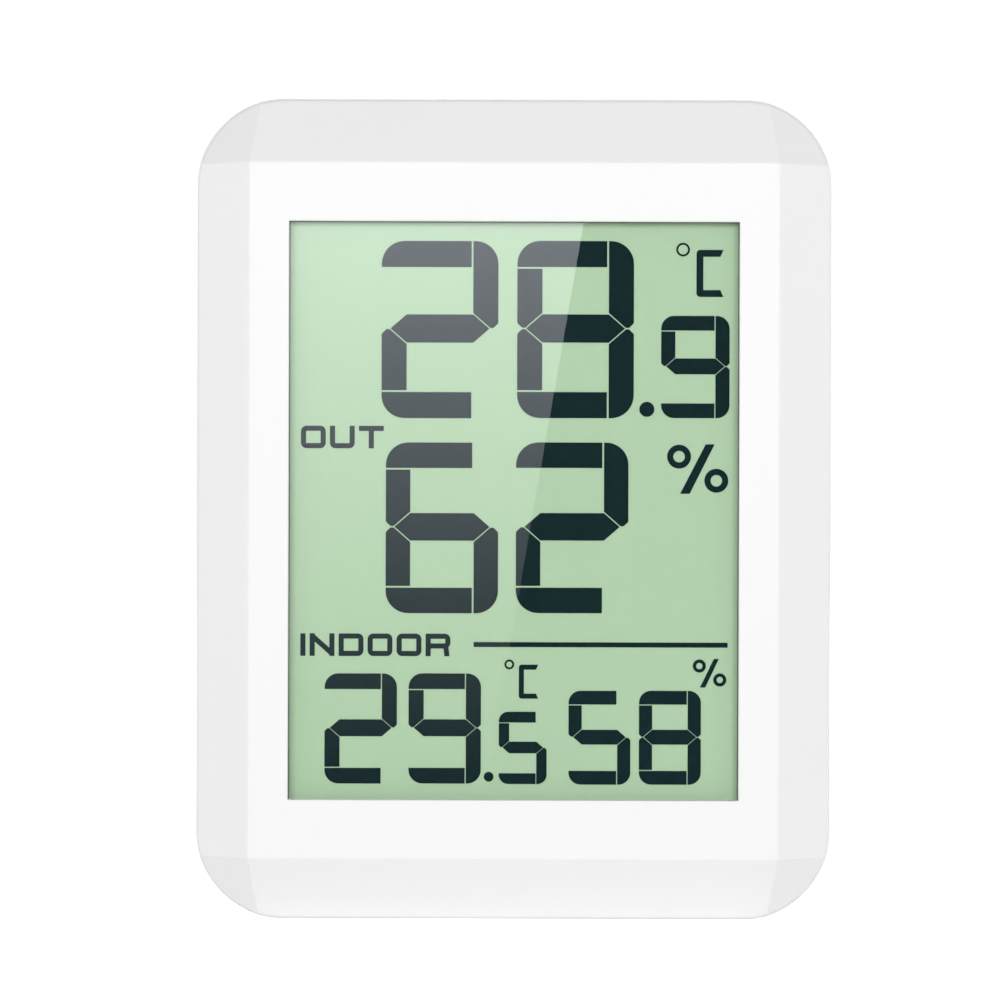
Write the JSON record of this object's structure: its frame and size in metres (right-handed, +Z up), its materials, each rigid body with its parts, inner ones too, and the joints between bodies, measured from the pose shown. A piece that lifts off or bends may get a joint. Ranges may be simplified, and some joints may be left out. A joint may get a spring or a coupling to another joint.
{
  "type": "climate display",
  "caption": "Upright white indoor and outdoor temperature and humidity display with a large segment screen, bevelled case, battery door, buttons and fold-out stand.",
  "frame": {"origin": "on the table, under the middle of the upright case", "axes": "+Z up the tall case, -Y out of the display towards the viewer, +X to the viewer's right"},
  "size_m": [0.0974, 0.024, 0.126],
  "materials": {
    "case_white": "fine satin moulded white ABS",
    "window_clear": "clear polished acrylic",
    "tape": "thin white double-sided tape",
    "lcd_glass": "thin clear display glass",
    "lcd_dark": "dark liquid-crystal segments",
    "lcd_green": "pale green reflecting display layer",
    "frame_plastic": "plain white moulded plastic",
    "zebra_rubber": "soft layered contact rubber",
    "board_green": "green lacquered circuit board",
    "black_resin": "black potting resin and moulded parts",
    "steel": "bright steel",
    "nickel": "nickel-plated spring steel",
    "capacitor_sleeve": "dark blue shrink sleeve",
    "cell_sleeve": "plain dark green printed sleeve",
    "lead_red": "red insulated wire",
    "lead_black": "black insulated wire",
    "antenna_white": "white insulated wire",
    "button_grey": "satin grey moulded plastic",
    "plunger_black": "black moulded plastic"
  },
  "bodies": {
    "case": {"front_casing": "case_white", "rear_casing": "case_white", "case_screws": "steel", "board_screws": "steel", "window_tape": "tape", "display_window": "window_clear", "lcd_frame": "frame_plastic", "lcd_front_glass": "lcd_glass", "lcd_segments": "lcd_dark", "lcd_rear_glass": "lcd_green", "lcd_reflector": "lcd_green", "zebra_strip_upper": "zebra_rubber", "zebra_strip_lower": "zebra_rubber", "main_board": "board_green", "controller_chip": "black_resin", "radio_board": "board_green", "radio_shield": "steel", "antenna_wire": "antenna_white", "clock_crystal": "steel", "filter_capacitor": "capacitor_sleeve", "humidity_sensor": "frame_plastic", "thermistor": "black_resin", "chip_components": "black_resin", "battery_cell_lower": "cell_sleeve", "battery_cell_upper": "cell_sleeve", "battery_contacts": "nickel", "battery_springs": "nickel", "battery_lead_positive": "lead_red", "battery_lead_negative": "lead_black", "switch_bodies": "black_resin"},
    "battery_door": {"battery_door": "case_white"},
    "stand": {"stand": "case_white"},
    "button_left": {"button_left": "button_grey", "switch_plunger_left": "plunger_black"},
    "button_middle": {"button_middle": "button_grey", "switch_plunger_middle": "plunger_black"},
    "button_right": {"button_right": "button_grey", "switch_plunger_right": "plunger_black"}
  },
  "joints": [
    {"name": "door_hinge", "type": "hinge", "parent": "case", "child": "battery_door", "pos_m": [0, 0.01, 0.06532], "axis": [-1, 0, 0], "range_deg": [0, 90]},
    {"name": "stand_hinge", "type": "hinge", "parent": "case", "child": "stand", "pos_m": [0, 0.0098, 0.05602], "axis": [1, 0, 0], "range_deg": [0, 30]},
    {"name": "press_left", "type": "slide", "parent": "case", "child": "button_left", "axis": [0, -1, 0], "range_m": [0, 0.0004], "stiffness_N_per_m": 1500, "springref_m": -0.0004},
    {"name": "press_middle", "type": "slide", "parent": "case", "child": "button_middle", "axis": [0, -1, 0], "range_m": [0, 0.0004], "stiffness_N_per_m": 1500, "springref_m": -0.0004},
    {"name": "press_right", "type": "slide", "parent": "case", "child": "button_right", "axis": [0, -1, 0], "range_m": [0, 0.0004], "stiffness_N_per_m": 1500, "springref_m": -0.0004}
  ]
}
